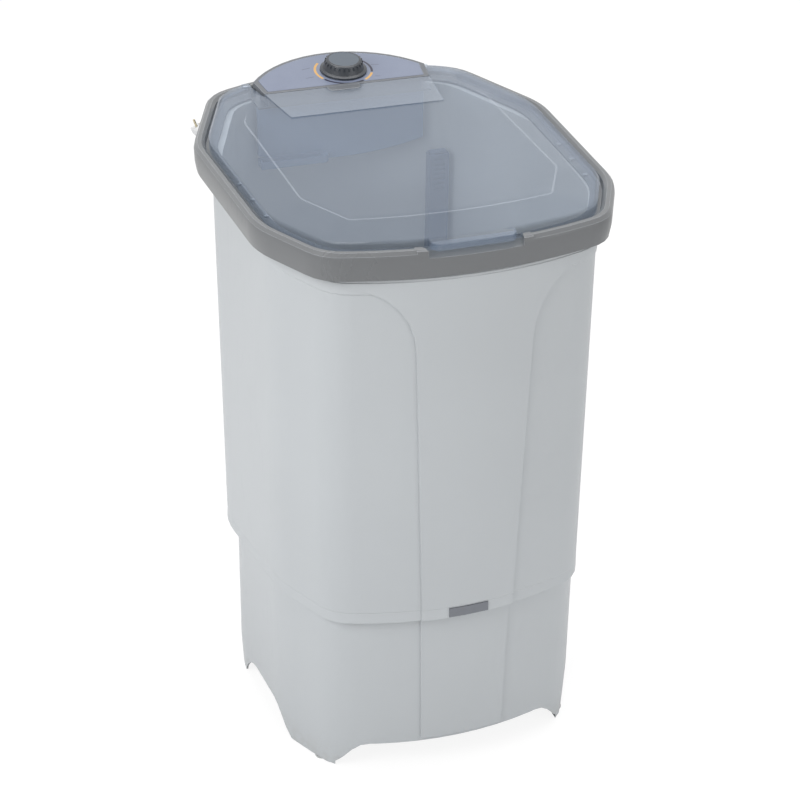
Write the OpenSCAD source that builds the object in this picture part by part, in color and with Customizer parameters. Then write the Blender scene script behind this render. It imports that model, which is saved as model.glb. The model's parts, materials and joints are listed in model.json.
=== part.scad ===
// Top-loading semi-automatic washing machine: a tall eight-sided plastic cabinet with a tub,
// a pulsator driven by a belt, a see-through lid and a clockwork timer at the back.
// Units are millimetres, +Z is up, the front faces -Y, and the origin is on the floor
// at the middle of the machine's box.

/* [Overall] */
// Height from the floor to the top of the grey rim
rim_top = 960; // [930:1:1000]
// Width across the rim at its widest
rim_w = 606; // [570:1:640]
// Depth from the bowed front of the rim to its arched back
rim_d = 750; // [730:1:800]

/* [Plan of the rim] */
// How much narrower each side is at the front than at the back
side_taper = 13; // [0:1:25]
// Width of a front chamfer, across
front_cut_w = 63; // [40:1:80]
// Depth of a front chamfer
front_cut_d = 128; // [100:1:150]
// Width of a rear chamfer, across
rear_cut_w = 77; // [60:1:100]
// Depth of a rear chamfer
rear_cut_d = 202; // [180:1:220]
// How far the front bows out
front_bow = 37; // [20:1:60]
// How far the back arches out
rear_bow = 60; // [30:1:70]

/* [Walls] */
// Wall of the cabinet, the base and the rim
wall = 3; // [2.5:0.1:5]
// Wall of the lid and the inner mouldings
thin_wall = 2.5; // [2:0.1:4]
// Clearance at a seat
seat = 0.2; // [0.1:0.05:0.3]
// How far the cabinet stands inside the rim
cabinet_in = 24; // [16:1:26]
// Height of the rim's skirt
skirt_h = 44; // [40:1:60]

/* [Cabinet and base] */
// Height of the seam between base and cabinet
seam_z = 305; // [290:1:320]
// Height of the cabinet's bevel above the seam
bevel_h = 20; // [12:1:26]
// Height of the arches between the feet
arch_h = 52; // [35:1:60]
// How far the front panel stands proud
panel_proud = 3; // [2:0.5:5]

/* [Lid] */
// Gap between the edge of the rim and the edge of the lid
lid_in = 24; // [20:1:26]
// Height of the lid's raised middle above the rim
lid_rise = 14; // [8:1:18]
// Diameter of a hinge pin
hinge_pin_d = 5; // [4:0.5:6]

/* [Controls] */
// Radius of the timer knob at its foot
knob_r = 40; // [34:1:42]
// Height of the timer knob
knob_h = 20; // [15:1:24]
// Ribs around the timer knob
knob_ribs = 24; // [16:1:32]
// Sideways place of the timer
timer_x = 9; // [0:1:16]
// Distance of the timer behind the panel's front edge
timer_in = 53; // [47:1:54]

/* [Drive] */
// Radius of the pulsator
pulsator_r = 140; // [120:1:144]
// Diameter of the pulsator shaft
shaft_d = 14; // [12:1:18]
// Radius of the driven pulley
big_pulley_r = 100; // [85:1:110]
// Radius of the motor pulley
small_pulley_r = 25; // [20:1:30]
// Distance from the pulsator shaft to the motor shaft
belt_run = 172; // [168:1:176]
// Radius of the motor
motor_r = 68; // [60:1:72]
// Height of the motor
motor_h = 118; // [100:1:120]

/* [Hidden] */

fit = 0.05;
run = 0.3;
rim_hw = rim_w / 2;
front_y = -rim_d / 2 + front_bow;
rear_y = rim_d / 2 - rear_bow;
base_in = 31;
tub_floor = seam_z + 25;
panel_front = rear_y - 68;
tray_z = 80;
mount_h = 12;
motor_z = tray_z + thin_wall + mount_h;
tub_top = rim_top - 15;
cabinet_top = tub_top - 3;
lid_z = rim_top - 11 + seat;
corner_r = 34;

// A plan is [half width at the back, half width at the front, back end and front end of a side,
// half width of the back, back, half width of the front, front, back bow, front bow and,
// where it isn't the usual one, the corners' radius].
RIM = [rim_hw, rim_hw - side_taper, rear_y - rear_cut_d, front_y + front_cut_d,
    rim_hw - rear_cut_w, rear_y, rim_hw - side_taper - front_cut_w, front_y, rear_bow, front_bow];
CAB = [rim_hw - cabinet_in + 3, rim_hw - side_taper - cabinet_in - 2, rear_y - 236,
    front_y + front_cut_d + 2, rim_hw - cabinet_in - 79, rear_y - 20,
    rim_hw - side_taper - front_cut_w - 17, front_y + 14, 48, 42];
// The cabinet's plan near its seam: wider, with its rear corners further forward.
CAB_LOW = [CAB[0] + 9, CAB[1] - 2, CAB[2] - 64, CAB[3], CAB[4], CAB[5], CAB[6], CAB[7], CAB[8], CAB[9]];
BASE = [rim_hw - cabinet_in - 4, rim_hw - side_taper - base_in + 1, rear_y - 310,
    front_y + front_cut_d + 6, rim_hw - cabinet_in - 89, rear_y - base_in,
    rim_hw - side_taper - front_cut_w - 22, front_y + base_in - 6, 46, 42];
CROWN = [rim_hw - 95, rim_hw - side_taper - 84, rear_y - 173, front_y + 166, rim_hw - 127,
    rear_y - 87, rim_hw - side_taper - 130, front_y + 74, 4, 16, 9];

function unit(v) = v / norm(v);
function meet(n1, c1, n2, c2) =
    let (d = n1[0] * n2[1] - n1[1] * n2[0])
    [(c1 * n2[1] - c2 * n1[1]) / d, (n1[0] * c2 - n2[0] * c1) / d];
function side_of(p, q, e) =
    let (n = unit([q[1] - p[1], p[0] - q[0]])) [n, n * p - e];
// The right half's four corners, drawn in by e, from the front to the back.
function corners(s, e) =
    let (p = [[s[6], s[7]], [s[1], s[3]], [s[0], s[2]], [s[4], s[5]]],
        l = [[[0, -1], -s[7] - e], side_of(p[0], p[1], e), side_of(p[1], p[2], e),
            side_of(p[2], p[3], e), [[0, 1], s[5] - e]])
    [for (i = [0:3]) meet(l[i][0], l[i][1], l[i + 1][0], l[i + 1][1])];
function bow_r(b, g) = (b * b + g * g) / (2 * g);
// Distance that a bow stands out at x, over a chord of half width b.
function bow(x, b, g) = sqrt(pow(bow_r(b, g), 2) - x * x) - bow_r(b, g) + g;
function bend(a, v, b) = [for (i = [0:4]) let (t = i / 4)
    (1 - t) * (1 - t) * a + 2 * t * (1 - t) * v + t * t * b];
// A closed outline of 60 points at inset e, anticlockwise from the middle of the front.
function half_outline(s, e) =
    let (c = corners(s, e), r = len(s) > 10 ? s[10] : corner_r, bf = c[0][0], br = c[3][0],
        f0 = [bf - r, c[0][1] - bow(bf - r, bf, s[9])],
        r0 = [br - r, c[3][1] + bow(br - r, br, s[8])])
    concat([for (i = [0:4]) let (x = (bf - r) * i / 5) [x, c[0][1] - bow(x, bf, s[9])]],
        bend(f0, c[0] + [0, -3], c[0] + r * unit(c[1] - c[0])),
        bend(c[1] + r * unit(c[0] - c[1]), c[1], c[1] + r * unit(c[2] - c[1])),
        bend(c[2] + r * unit(c[1] - c[2]), c[2], c[2] + r * unit(c[3] - c[2])),
        bend(c[3] + r * unit(c[2] - c[3]), c[3] + [0, 3], r0),
        [for (i = [4:-1:0]) let (x = (br - r) * i / 5) [x, c[3][1] + bow(x, br, s[8])]]);
function outline(s, e) =
    let (h = half_outline(s, e), n = len(h))
    concat(h, [for (i = [n - 2:-1:1]) [-h[i][0], h[i][1]]]);
function rise(y) = let (t = min(1, max(0, (y - rear_y + 300) / 260))) t * t * (3 - 2 * t);
function ring(q) = [for (p = outline(q[0], q[1]))
    [p[0], p[1], q[2] + (len(q) > 3 ? q[3] * rise(p[1]) : 0)]];
function ring_faces(i, j, n) = [for (k = [0:n - 1]) let (m = (k + 1) % n)
    each [[i * n + k, j * n + k, j * n + m], [i * n + k, j * n + m, i * n + m]]];

// A closed band: a profile of [plan, inset, height, lift at the back] goes once round
// its own wall.
module band(profile) {
    rings = [for (p = profile) ring(p)];
    n = len(rings[0]);
    polyhedron([for (r = rings) each r],
        [for (i = [0:len(rings) - 1]) each ring_faces(i, (i + 1) % len(rings), n)],
        convexity = 8);
}

// A closed cup: the profile starts and ends on flat closed faces.
module cup(profile) {
    rings = [for (p = profile) ring(p)];
    n = len(rings[0]);
    last = (len(rings) - 1) * n;
    polyhedron([for (r = rings) each r],
        concat([for (i = [0:len(rings) - 2]) each ring_faces(i, i + 1, n)],
            [[for (k = [0:n - 1]) k]], [[for (k = [n - 1:-1:0]) last + k]]),
        convexity = 8);
}

module slab(s, e, z, h) {
    translate([0, 0, z]) linear_extrude(h) polygon(outline(s, e));
}

module rod(p, r, h) {
    translate(p) cylinder(h = h, r = r, $fn = 48);
}

module rod_y(p, r, h) {
    translate(p) rotate([-90, 0, 0]) cylinder(h = h, r = r, $fn = 48);
}

module rod_x(p, r, h) {
    translate(p) rotate([0, 90, 0]) cylinder(h = h, r = r, $fn = 48);
}

module tube(p, r, bore, h) {
    translate(p) difference() {
        cylinder(h = h, r = r, $fn = 64);
        translate([0, 0, -1]) cylinder(h = h + 2, r = bore, $fn = 64);
    }
}

// Depth of the cabinet's back at x, and of the base's back.
function cab_back(x) = CAB[5] + bow(x, CAB[4], CAB[8]);
function base_back(x) = BASE[5] + bow(x, BASE[4], BASE[8]);
function cab_front(x) = CAB[7] - bow(x, CAB[6], CAB[9]);
function base_front(x) = BASE[7] - bow(x, BASE[6], BASE[9]);

/* The cabinet's proud front panel, wide under the rim and a strip below */
strip_x = 7;
strip_top = 93;
strip_seam = 77;
strip_foot = 70;
arch_foot_z = rim_top - 175;
arch_rise = 112;
panel_edge = [for (i = [0:6]) let (a = 90 * i / 6)
    [strip_top + 96 * (1 - cos(a)), arch_foot_z + arch_rise * sin(a)]];
panel_top = [[strip_top + 122, arch_foot_z + arch_rise + 6],
    [strip_top + 152, arch_foot_z + arch_rise + 14], [strip_top + 157, rim_top],
    [strip_top, rim_top]];
lip_top = seam_z + bevel_h;
ledge_z = rim_top - 11;
rim_screw_in = 9;
function side_x(y) = CAB[1] + (CAB[0] - CAB[1]) * (y - CAB[3]) / (CAB[2] - CAB[3]);
rim_screw_at = [for (m = [-1, 1], y = [-165, -102, -40]) [m * (side_x(y) - rim_screw_in), y]];
seam_screw_in = 14;
function base_side_x(y) = BASE[1] + (BASE[0] - BASE[1]) * (y - BASE[3]) / (BASE[2] - BASE[3]);
seam_screw_at = [for (m = [-1, 1]) each [[m * (base_side_x(-60) - seam_screw_in), -60],
    [m * 90, base_back(90) - seam_screw_in], [m * 90, base_front(90) + seam_screw_in]]];

// Part of a band, cut to a shape drawn in the XZ plane as seen from the front.
module front_part(profile) {
    intersection() {
        band(profile);
        translate([0, -150, 0]) rotate([90, 0, 0]) linear_extrude(rim_d) children();
    }
}

module cabinet() {
    color([0.74, 0.77, 0.79]) difference() {
        union() {
            band([[CAB_LOW, -0.6, seam_z + 0.3], [CAB_LOW, 0.6, lip_top - 1.2],
                [CAB_LOW, 0, lip_top], [CAB, 0, rim_top - 72], [CAB, -2, rim_top - 70],
                [CAB, -2, rim_top - 48], [CAB, 0, rim_top - 46], [CAB, 0, cabinet_top],
                [CAB, wall, cabinet_top], [CAB, wall, rim_top - 72],
                [CAB_LOW, wall, lip_top + 4], [CAB_LOW, wall, seam_z + 3.3],
                [BASE, 1.7, seam_z + 3.3], [BASE, 1.7, seam_z + 0.3]]);
            front_part([[CAB_LOW, -panel_proud - 0.6, seam_z + 0.3],
                [CAB_LOW, -panel_proud + 0.6, lip_top - 1.2], [CAB_LOW, -panel_proud, lip_top],
                [CAB, -panel_proud, rim_top - 52], [CAB, -1, rim_top - 50.2],
                [CAB, 1, rim_top - 50.2], [CAB_LOW, 1, lip_top + 1],
                [CAB_LOW, 1.6, seam_z + 0.3]])
                translate([strip_x, 0]) polygon(concat([[-strip_seam, seam_z - 5],
                    [strip_seam, seam_z - 5]], panel_edge, panel_top,
                    [for (i = [3:-1:0]) [-panel_top[i][0], panel_top[i][1]]],
                    [for (i = [6:-1:0]) [-panel_edge[i][0], panel_edge[i][1]]]));
            for (p = rim_screw_at) intersection() {
                slab(CAB, wall - 1, cabinet_top - 26, 26);
                boss(p, 0, rim_top, 10);
            }
            for (p = seam_screw_at) {
                rod([p[0], p[1], seam_z + 2 + seat], 4.4, 16);
                intersection() {
                    slab(CAB_LOW, wall - 1, seam_z + 11, 7);
                    boss(p, 0, rim_top, 36);
                }
            }
        }
        rod_y([gland_x, gland_wall - 20, gland_z], gland_bore, 40);
        for (p = rim_screw_at) rod([p[0], p[1], cabinet_top - 24], 1.95, 30);
        for (p = seam_screw_at) rod([p[0], p[1], seam_z], 1.95, 15);
    }
}

// A screw's boss at p, with a web of length l out to the nearest wall.
module boss(p, z, h, l) {
    a = abs(p[0]) > 190 ? (p[0] > 0 ? 0 : 180) : p[1] > 0 ? 90 : -90;
    translate([p[0], p[1], z]) {
        cylinder(h = h, r = 4.4, $fn = 40);
        rotate([0, 0, a]) translate([0, -2, 0]) cube([l, 4, h]);
    }
}

module base_cabinet() {
    color([0.74, 0.77, 0.79]) difference() {
        union() {
            difference() {
                band([[BASE, 3, pad_h], [BASE, 0, 60], [BASE, 0, seam_z], [BASE, 2, seam_z],
                    [BASE, 2, seam_z + 8], [BASE, 2 + wall, seam_z + 8],
                    [BASE, 2 + wall, seam_z + 2], [BASE, 26, seam_z + 2],
                    [BASE, 26, seam_z - 2], [BASE, wall, seam_z - 2], [BASE, wall, tray_z],
                    [BASE, 16, tray_z], [BASE, 16, tray_z - 4], [BASE, wall, tray_z - 6],
                    [BASE, 3 + wall, pad_h]]);
                arches();
            }
            front_part([[BASE, -panel_proud, arch_h + 8], [BASE, -panel_proud, seam_z - 2],
                [BASE, -panel_proud + 2, seam_z], [BASE, 1, seam_z], [BASE, 1, arch_h + 8]])
                translate([strip_x, 0]) polygon([[-strip_foot, 0], [strip_foot, 0],
                    [strip_seam - 1, seam_z + 5], [1 - strip_seam, seam_z + 5]]);
            for (m = [0, 1]) mirror([m, 0, 0]) {
                leg([63 - rim_hw, front_y + 14], [42, 102], tray_z - 7);
                leg([33 - rim_hw, rear_y - 298], [100, 300], tray_z - 7);
            }
            rod_y([drain_x, base_back(drain_x) - 16, drain_z], drain_r + 11, 26);
        }
        rod_y([drain_x, base_back(drain_x) - 30, drain_z], drain_r + 0.3, 60);
        translate([-cover_w / 2 + 6, base_back(0) - 30, cover_z + 6])
            cube([cover_w - 12, 60, cover_h - 12]);
        for (p = cover_screws) rod_y([p[0], base_back(0) - 30, p[1]], 1.55, 60);
        for (p = seam_screw_at) rod([p[0], p[1], seam_z - 5], 2.2, 10);
    }
}

// Hollow column with a sole behind each chamfer, so that the feet are closed boxes.
module leg(p, d, h) {
    intersection() {
        slab(BASE, 2 + wall / 2, pad_h, h);
        translate([p[0], p[1], 0]) difference() {
            cube([d[0], d[1], h + 9]);
            translate([-1, p[1] < 0 ? -1 : wall, pad_h + sole_t])
                cube([d[0] + 1 - wall, d[1] + 1 - wall, h]);
        }
    }
    intersection() {
        slab(BASE, 2 + wall / 2, pad_h, sole_t);
        translate([p[0], p[1], 0]) cube([d[0], d[1], 20]);
    }
}

sole_t = 4;
pad_h = 3;
// Outlines of the arches between the feet, for a top of 54.
ARCH_SIDE = [[-7, -1], [0, 8], [8, 17], [16, 28], [27, 42], [40, 52], [55, 55]];
arch_hw = BASE[6] - 4;
FRONT_ARCH = concat([for (p = ARCH_SIDE) [p[0] - arch_hw, p[1]]],
    [for (i = [6:-1:0]) [arch_hw - ARCH_SIDE[i][0], ARCH_SIDE[i][1]]]);
SIDE_ARCH = concat(
    [for (p = [[116, -1], [124, 9], [133, 19], [148, 41], [158, 51], [172, 57]])
        [front_y + p[0], p[1]]],
    [for (p = [[392, 57], [372, 52], [357, 43], [341, 28], [330, 14], [322, -1]])
        [rear_y - p[0], p[1]]]);
function fitted(a) = [for (p = a) [p[0], p[1] * arch_h / 54]];
module arches() {
    rotate([90, 0, 0]) linear_extrude(rim_d, center = true) polygon(fitted(FRONT_ARCH));
    rotate([90, 0, 90]) linear_extrude(rim_w + 100, center = true)
        polygon(fitted(SIDE_ARCH));
}

module foot_pads() {
    color([0.2, 0.2, 0.22]) for (m = [0, 1]) mirror([m, 0, 0]) {
        translate([-BASE[6] - 5, front_y + 66, 0]) foot_pad();
        translate([-BASE[4], rear_y - 108, 0]) foot_pad();
    }
}

module foot_pad() {
    cylinder(h = pad_h - seat / 2, r = 12, $fn = 40);
}

/* Tub and its mouth */
tub_in = 14;
tub_low = 18;
drain_x = 150;
drain_y = 75;
drain_r = 16;
drain_z = 112;

module tub() {
    color([0.72, 0.72, 0.73]) difference() {
        cup([[CAB, tub_low + 14, tub_floor], [CAB, tub_low, tub_floor + 16],
            [CAB, tub_in, cabinet_top + seat], [CAB, 0.5, cabinet_top + seat],
            [CAB, 0.5, tub_top - seat], [CAB, tub_in + thin_wall, tub_top - seat],
            [CAB, tub_low + thin_wall, tub_floor + 18], [CAB, tub_low + 16, tub_floor + 4]]);
        rod([0, 0, tub_floor - 5], hub_r + fit, 20);
        rod([drain_x, drain_y, tub_floor - 5], drain_r + 0.5, 20);
        for (a = [45:90:315]) rod([hub_bolt_r * cos(a), hub_bolt_r * sin(a), tub_floor - 5],
            bolt_r + 0.3, 20);
        for (p = rim_screw_at) rod([p[0], p[1], cabinet_top - 1], 2.2, 10);
    }
}

/* Grey rim with the deck behind it */
deck_y = rear_y - 58;
deck_w = 153;
notch_w = 70;
hinge_y = rear_y - 2;
hinge_z = rim_top + 5;
lug_w = 8.7;
lug_x = deck_w - lug_w - 0.3;

module top_rim() {
    color([0.5, 0.52, 0.55]) difference() {
        union() {
            band([[RIM, 3, rim_top - skirt_h], [RIM, 0.5, rim_top - 28], [RIM, 0, rim_top - 12],
                [RIM, 1.5, rim_top - 5], [RIM, 6, rim_top], [RIM, 12, rim_top],
                [RIM, 17, rim_top - 4], [RIM, 19.5, ledge_z], [RIM, 38, ledge_z],
                [RIM, 38, tub_top], [RIM, 20, tub_top], [RIM, 15.5, rim_top - 9],
                [RIM, 11, rim_top - 3.5], [RIM, 6.5, rim_top - 3.5], [RIM, wall, rim_top - 9],
                [RIM, 0.5 + wall, rim_top - 28], [RIM, 3 + wall, rim_top - skirt_h]]);
            intersection() {
                difference() {
                    slab(RIM, 1.5, tub_top, 14);
                    slab(RIM, 18, rim_top - 17, 20);
                }
                translate([-90, -rim_d, 0]) cube([180, rim_d, rim_top]);
            }
            intersection() {
                slab(RIM, 24, tub_top, ledge_z - tub_top);
                translate([-deck_w, deck_y, 0]) cube([2 * deck_w, 200, rim_top]);
            }
            for (m = [0, 1]) mirror([m, 0, 0]) {
                translate([lug_x, hinge_y - 7, ledge_z - 1])
                    cube([lug_w, 14, hinge_z - ledge_z + 1]);
                rod_x([lug_x, hinge_y, hinge_z], 6.5, lug_w);
            }
        }
        // the finger notch at the front
        translate([0, front_y - front_bow, rim_top - 12]) linear_extrude(20)
            polygon([[-notch_w, -10], [notch_w, -10], [notch_w + 12, 40], [-notch_w - 12, 40]]);
        for (p = rim_screw_at) rod([p[0], p[1], tub_top - 1], 2.2, 10);
        for (x = [-1, 1]) rod([x * panel_screw_x, deck_y + screw_in, tub_top - 1], 2.2, 10);
        translate([timer_x - 32, timer_y - 32, tub_top - 1]) cube([64, 64, 10]);
        rod_x([-deck_w - 2, hinge_y, hinge_z], hinge_pin_d / 2 + fit, 2 * deck_w + 4);
    }
}

panel_screw_x = deck_w - 41;
screw_in = 17.5;

/* Lid */
lid_cut_y = panel_front - 2.5;
lid_cut_w = deck_w + 1.5;
knuckle_x = deck_w + 0.5;
knuckle_l = 12;
knuckle_r = 5;
tab_w = 66;
lid_lift = 3;

module lid() {
    color([0.75, 0.82, 0.9, 0.5]) difference() {
        union() {
            cup([[CROWN, 6, rim_top + lid_rise - thin_wall - 1.5],
                [CROWN, 0, rim_top + lid_rise - thin_wall - 2],
                [RIM, lid_in + 6, rim_top + 4, lid_lift],
                [RIM, lid_in + thin_wall, lid_z], [RIM, lid_in, lid_z],
                [RIM, lid_in, rim_top + 4, lid_lift],
                [RIM, lid_in + 3.5, rim_top + 7, lid_lift],
                [CROWN, 0, rim_top + lid_rise], [CROWN, 8, rim_top + lid_rise + 0.5]]);
            for (m = [0, 1]) mirror([m, 0, 0]) lid_knuckle();
            lid_tab();
            // raised apron in front of the panel
            translate([0, 0, rim_top + lid_rise - 1]) linear_extrude(3)
                polygon([[22 - deck_w, panel_front - 112], [deck_w - 22, panel_front - 112],
                    [deck_w - 8, lid_cut_y], [8 - deck_w, lid_cut_y]]);
        }
        translate([0, 0, rim_top - 60]) linear_extrude(120)
            polygon([[5.5 - deck_w, lid_cut_y], [deck_w - 5.5, lid_cut_y],
                [lid_cut_w, panel_front + 49], [lid_cut_w, panel_front + 50],
                [knuckle_x, panel_front + 51], [knuckle_x, rear_y + 100],
                [-knuckle_x, rear_y + 100], [-knuckle_x, panel_front + 51],
                [-lid_cut_w, panel_front + 50], [-lid_cut_w, panel_front + 49]]);
        // the skirt is short behind, where it swings down
        translate([-rim_w / 2, rear_y - 36, rim_top - 60]) cube([rim_w, 100, 60]);
        rod_x([-lid_cut_w - 60, hinge_y, hinge_z], hinge_pin_d / 2 + fit, 2 * lid_cut_w + 120);
    }
}

module lid_knuckle() {
    rod_x([knuckle_x, hinge_y, hinge_z], knuckle_r, knuckle_l);
    translate([knuckle_x, hinge_y - 5, hinge_z]) cube([knuckle_l, 10, knuckle_r - 0.5]);
}

// A lip to lift the lid by, open below: a top plate and a thin front.
module lid_tab() {
    difference() {
        tab_form(0, 5, rim_top - 4, 10.5);
        tab_form(thin_wall, -0.5, rim_top - 5, 9);
    }
}

module tab_form(e, behind, z, h) {
    y = front_y - front_bow + lid_in;
    translate([0, 0, z]) linear_extrude(h)
        polygon([[e - tab_w, y + behind], [e - tab_w, y - 8 + e / 2],
            [e / 2 - tab_w + 8, y - 17 + e], [tab_w - 8 - e / 2, y - 17 + e],
            [tab_w - e, y - 8 + e / 2], [tab_w - e, y + behind]]);
}

module hinge_pins() {
    color([0.7, 0.7, 0.72]) for (m = [0, 1]) mirror([m, 0, 0])
        rod_x([lug_x + 0.5, hinge_y, hinge_z], hinge_pin_d / 2, lug_w + knuckle_l - 1);
}

/* Control panel */
panel_slope = 6.5;
panel_tip = [deck_w - 1, 45];
panel_back = 122;
panel_t = 9;
panel_arc_r = (panel_tip[0] * panel_tip[0] + pow(panel_back - panel_tip[1], 2))
    / (2 * (panel_back - panel_tip[1]));
panel_z = rim_top + 16;
panel_arc_a = asin(panel_tip[0] / panel_arc_r);

// The panel's fan shape, drawn in by e, with its front edge on y = 0.
module fan(e) {
    c = panel_back - panel_arc_r;
    polygon(concat([[7 - panel_tip[0] + 1.2 * e, e], [panel_tip[0] - 7 - 1.2 * e, e]],
        [for (i = [-8:8]) let (a = 90 - i * panel_arc_a / -8 * (1 - e / panel_tip[0]), r = panel_arc_r - e)
            [r * cos(a), c + r * sin(a)]]));
}

module on_panel() {
    translate([0, panel_front, panel_z]) rotate([panel_slope, 0, 0]) children();
}

timer_p = timer_in;
timer_y = panel_front + timer_in;
panel_top_t = 4;
module panel_housing() {
    color([0.48, 0.5, 0.53]) difference() {
        union() {
            difference() {
                on_panel() translate([0, 0, -panel_t]) linear_extrude(panel_t) fan(0);
                on_panel() translate([0, 0, -panel_t - 1])
                    linear_extrude(panel_t + 1 - panel_top_t) fan(3);
            }
            intersection() {
                translate([0, panel_front, ledge_z + seat]) linear_extrude(60)
                    difference() {
                        fan(8);
                        fan(11);
                    }
                union() {
                    slab(RIM, 22, ledge_z, 60);
                    translate([-200, panel_front - 52, rim_top + seat]) cube([400, 200, 60]);
                }
                on_panel() translate([-200, -50, -100]) cube([400, 250, 100 - 2]);
            }
            for (x = [-1, 1]) translate([x * panel_screw_x - 5, deck_y + screw_in - 5, ledge_z + seat])
                intersection() {
                    cube([10, 10, 28]);
                    translate([-x * panel_screw_x + 5, 5 - deck_y - screw_in, -ledge_z - seat])
                        on_panel() translate([-200, -50, -100]) cube([400, 250, 98]);
                }
        }
        on_panel() translate([0, 0, -1.2]) linear_extrude(5) fan(6);
        on_panel() rod([timer_x, timer_p, -40], 6, 60);
        for (x = [-1, 1]) rod([x * panel_screw_x, deck_y + screw_in, ledge_z - 5], 1.95, 20);
    }
}

module panel_overlay() {
    color([0.72, 0.74, 0.82]) on_panel() difference() {
        translate([0, 0, -1.2 + seat / 4]) linear_extrude(1.3) fan(6.3);
        rod([timer_x, timer_p, -5], 6, 10);
    }
}

module panel_screws() {
    color([0.6, 0.6, 0.62]) for (x = [-1, 1])
        translate([x * panel_screw_x, deck_y + screw_in, tub_top - seat]) {
            rod([0, 0, -1], 1.9, 13);
            rod([0, 0, -2.5], 4, 2.5);
        }
}

module timer_knob() {
    color([0.25, 0.27, 0.3]) on_panel() translate([timer_x, timer_p, 0.8]) difference() {
        union() {
            rotate_extrude($fn = 64) polygon([[0, 0], [knob_r, 0], [knob_r, 3],
                [knob_r - 5, 5], [knob_r - 9, knob_h - 3], [knob_r - 10, knob_h - 1],
                [knob_r - 12, knob_h], [0, knob_h]]);
            for (i = [1:knob_ribs]) rotate([0, 0, i * 360 / knob_ribs])
                translate([knob_r - 9.6, -1, 4]) cube([2.2, 2, knob_h - 6.5]);
        }
        translate([0, 0, -1]) cylinder(h = 13, r = 3 + fit, $fn = 32);
    }
}

module timer_shaft() {
    color([0.8, 0.8, 0.8]) on_panel() rod([timer_x, timer_p, -20], 3, 31);
}

module timer_body() {
    color([0.85, 0.85, 0.82]) on_panel() difference() {
        union() {
            translate([timer_x - 26, timer_p - 26, -panel_top_t - seat - 30])
                cube([52, 52, 30]);
            rod([timer_x, timer_p, -panel_top_t - seat - 1], 5.5, 4);
        }
        rod([timer_x, timer_p, -22], 3 + fit, 40);
    }
}

/* Mouldings inside the tub */
cover_front = rear_y - 35;
cover_low = 120;
cover_w2 = deck_w - 5;
cover_arc_r = 600;
module splash_cover() {
    color([0.45, 0.52, 0.6]) difference() {
        splash_block(0);
        splash_block(thin_wall);
    }
}

// Block hanging behind the tub's mouth, with an arc for its lower edge, drawn in by e.
module splash_block(e) {
    top = tub_top - seat;
    intersection() {
        slab(CAB, tub_low + thin_wall + 1.5 + e, rim_top - 200, top - rim_top + 200
            + (e > 0 ? 5 : 0));
        translate([-cover_w2 + e, cover_front + e, 0]) cube([2 * cover_w2 - 2 * e, 120, 1000]);
        translate([0, cover_front - 85, rim_top - cover_low - 8 + cover_arc_r])
            rotate([-90, 0, 0]) cylinder(h = 300, r = cover_arc_r - e, $fn = 200);
    }
}

tray_w = 110;
module soap_tray() {
    color([0.5, 0.56, 0.64]) translate([-cover_w2 - 2, cover_front - 24, rim_top - cover_low - 4])
        difference() {
            union() {
                cube([tray_w, 24 - seat, 12]);
                translate([tray_w, 12, 0]) cylinder(h = 12, r = 12 - seat, $fn = 48);
            }
            translate([4, 3, 3]) cube([tray_w - 4, 17, 20]);
        }
}

channel_x = rim_hw - 136;
channel_w = 36;
channel_d = 20;
channel_y = rear_y - 70;
channel_top = rim_top - 131;
module filter_channel() {
    color([0.45, 0.5, 0.58]) difference() {
        translate([channel_x - channel_w / 2, channel_y, tub_floor + 20])
            cube([channel_w, channel_d, channel_top - tub_floor - 20]);
        translate([channel_x - channel_w / 2 + thin_wall, channel_y + thin_wall,
            tub_floor + 20 + thin_wall])
            cube([channel_w - 2 * thin_wall, channel_d - 2 * thin_wall, rim_top]);
        for (z = [0:6]) translate([channel_x - 10, channel_y - 5, channel_top - 66 + 9 * z])
            cube([20, 10, 4]);
    }
}

module lint_filter() {
    w = channel_w - 2 * thin_wall - 2 * run;
    d = channel_d - 2 * thin_wall - 2 * run;
    color([0.62, 0.66, 0.74]) translate([channel_x - w / 2, channel_y + thin_wall + run,
        channel_top - 180])
        difference() {
            cube([w, d, 184]);
            translate([3, 3, 6]) cube([w - 6, d - 6, 168]);
            translate([-1, 5, 12]) cube([w + 2, d - 10, 150]);
            translate([w / 2 - 8, -1, 178]) cube([16, d + 2, 3]);
        }
}

/* Pulsator, its shaft and bearings */
hub_r = 17;
hub_bolt_r = 34;
bolt_r = 2.5;
pulsator_z = tub_floor + 9;
pulley_h = 16;
pulley_z = motor_z + motor_h + 13.5;
shaft_bottom = pulley_z - 18;
flange_t = 5;
module pulsator() {
    color([0.86, 0.88, 0.9]) difference() {
        union() {
            translate([0, 0, pulsator_z]) rotate_extrude($fn = 96) polygon([[0, 0],
                [pulsator_r - 6, 0], [pulsator_r, 3], [pulsator_r, 6], [pulsator_r - 30, 9],
                [pulsator_r * 0.45, 16], [30, 34], [24, 40], [0, 40]]);
            for (a = [0:90:270]) rotate([0, 0, a]) intersection() {
                translate([20, -7, pulsator_z + 4]) cube([pulsator_r - 36, 14, 36]);
                translate([0, 0, pulsator_z]) rotate_extrude($fn = 96) polygon([[0, 0],
                    [pulsator_r - 12, 0], [pulsator_r - 14, 14], [pulsator_r - 40, 28],
                    [28, 39], [0, 39]]);
            }
        }
        rod([0, 0, pulsator_z - 1], shaft_d / 2 + fit, 30);
        rod([0, 0, pulsator_z + 22], 4 + fit, 20);
        rod([0, 0, pulsator_z + 33], 16, 10);
    }
}

module pulsator_shaft() {
    color([0.7, 0.7, 0.72]) difference() {
        rod([0, 0, shaft_bottom], shaft_d / 2, pulsator_z + 28 - shaft_bottom);
        rod([0, 0, pulsator_z + 10], 3, 30);
    }
}

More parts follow.
